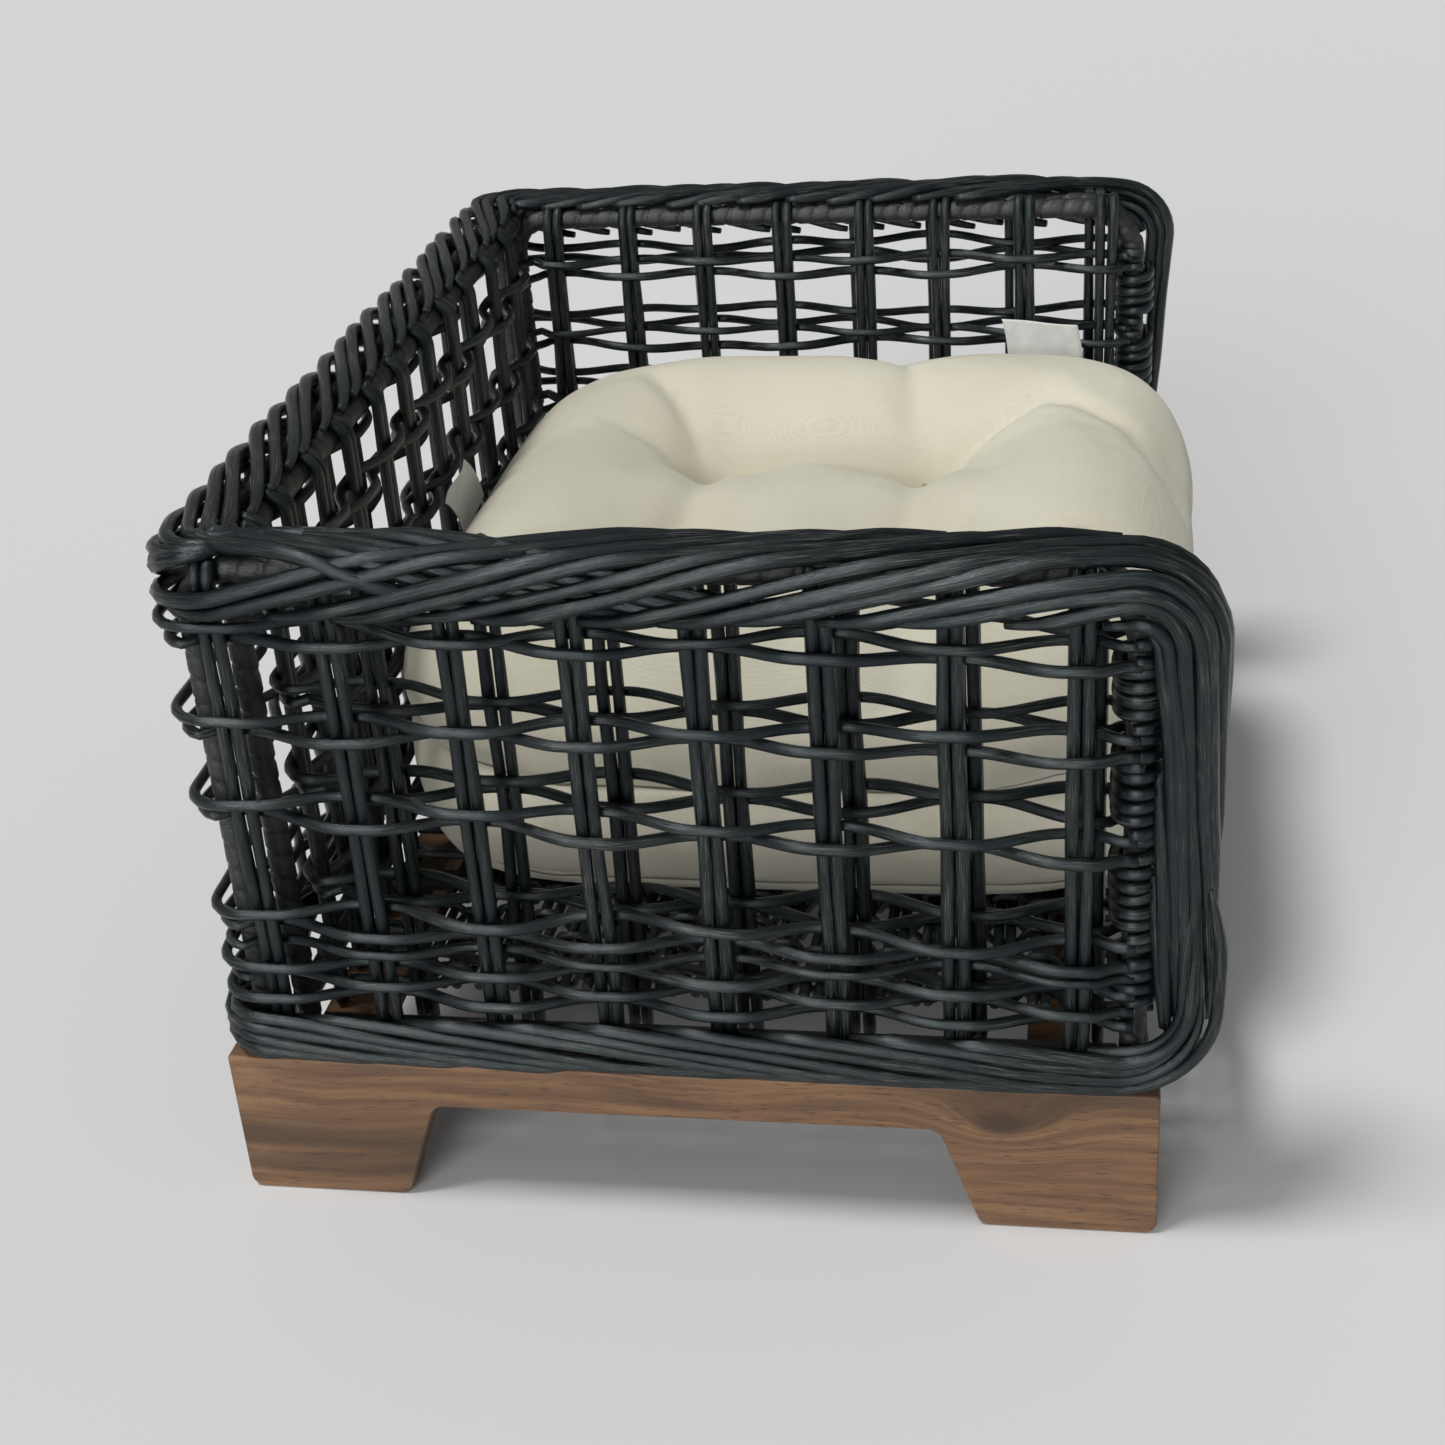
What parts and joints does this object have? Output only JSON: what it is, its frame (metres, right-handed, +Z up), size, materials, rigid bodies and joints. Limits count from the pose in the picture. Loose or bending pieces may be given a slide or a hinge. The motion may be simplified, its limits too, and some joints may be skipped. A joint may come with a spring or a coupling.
{
  "type": "wicker pet bed basket",
  "caption": "Rectangular open-front woven rattan pet bed with double walls and a rope-twist border, on a low wooden stand, holding a loose tufted cushion.",
  "frame": {"origin": "centre of the footprint, on the floor under the stand's feet", "axes": "+X along the length, +Y towards the closed back wall, so that the open front faces -Y, +Z up"},
  "size_m": [0.596, 0.46, 0.34],
  "materials": {
    "wicker": "satin near-black stained rattan rods with pale streaks along the grain",
    "rattan_pole": "satin near-black stained rattan poles",
    "stand_wood": "medium brown oiled hardwood with dark growth bands and a knot",
    "cushion_cloth": "matt cream woven cotton",
    "label_cloth": "matt white satin tape, blank",
    "tuft_thread": "matt cream thread",
    "screw_steel": "zinc plated"
  },
  "bodies": {
    "basket": {"outer_weave_left": "wicker", "outer_weave_back": "wicker", "outer_weave_right": "wicker", "inner_weave_left": "wicker", "inner_weave_back": "wicker", "inner_weave_right": "wicker", "floor_weave": "wicker", "top_border_left": "wicker", "top_border_back": "wicker", "top_border_right": "wicker", "front_braid_left": "wicker", "front_braid_right": "wicker", "front_braid_foot_left": "wicker", "front_braid_foot_right": "wicker", "bottom_border_left": "wicker", "bottom_border_right": "wicker", "bottom_border_back": "wicker", "bottom_border_front": "wicker", "front_post_wrap_left": "wicker", "front_post_wrap_right": "wicker", "outer_hoop_left": "rattan_pole", "outer_hoop_right": "rattan_pole", "inner_hoop_left": "rattan_pole", "inner_hoop_right": "rattan_pole", "back_rail_outer": "rattan_pole", "back_rail_inner": "rattan_pole", "base_pole_left": "rattan_pole", "base_pole_right": "rattan_pole", "base_pole_front": "rattan_pole", "base_pole_back": "rattan_pole", "cross_pole_1": "rattan_pole", "cross_pole_2": "rattan_pole", "cross_pole_3": "rattan_pole", "stand_board_left": "stand_wood", "stand_board_right": "stand_wood", "stand_rail_front": "stand_wood", "stand_rail_back": "stand_wood", "stand_dowel_left_front": "stand_wood", "stand_dowel_right_front": "stand_wood", "stand_dowel_left_back": "stand_wood", "stand_dowel_right_back": "stand_wood", "stand_screw_left_front": "screw_steel", "stand_screw_right_front": "screw_steel", "stand_screw_left_back": "screw_steel", "stand_screw_right_back": "screw_steel"},
    "cushion": {"cushion": "cushion_cloth", "tuft_tie_1": "tuft_thread", "tuft_tie_2": "tuft_thread", "tuft_tie_3": "tuft_thread", "tuft_tie_4": "tuft_thread", "care_label_back": "label_cloth", "care_label_right": "label_cloth"}
  },
  "joints": [
    {"name": "cushion_lift", "type": "slide", "parent": "basket", "child": "cushion", "axis": [0, 0, 1], "range_m": [0, 0.3]}
  ]
}
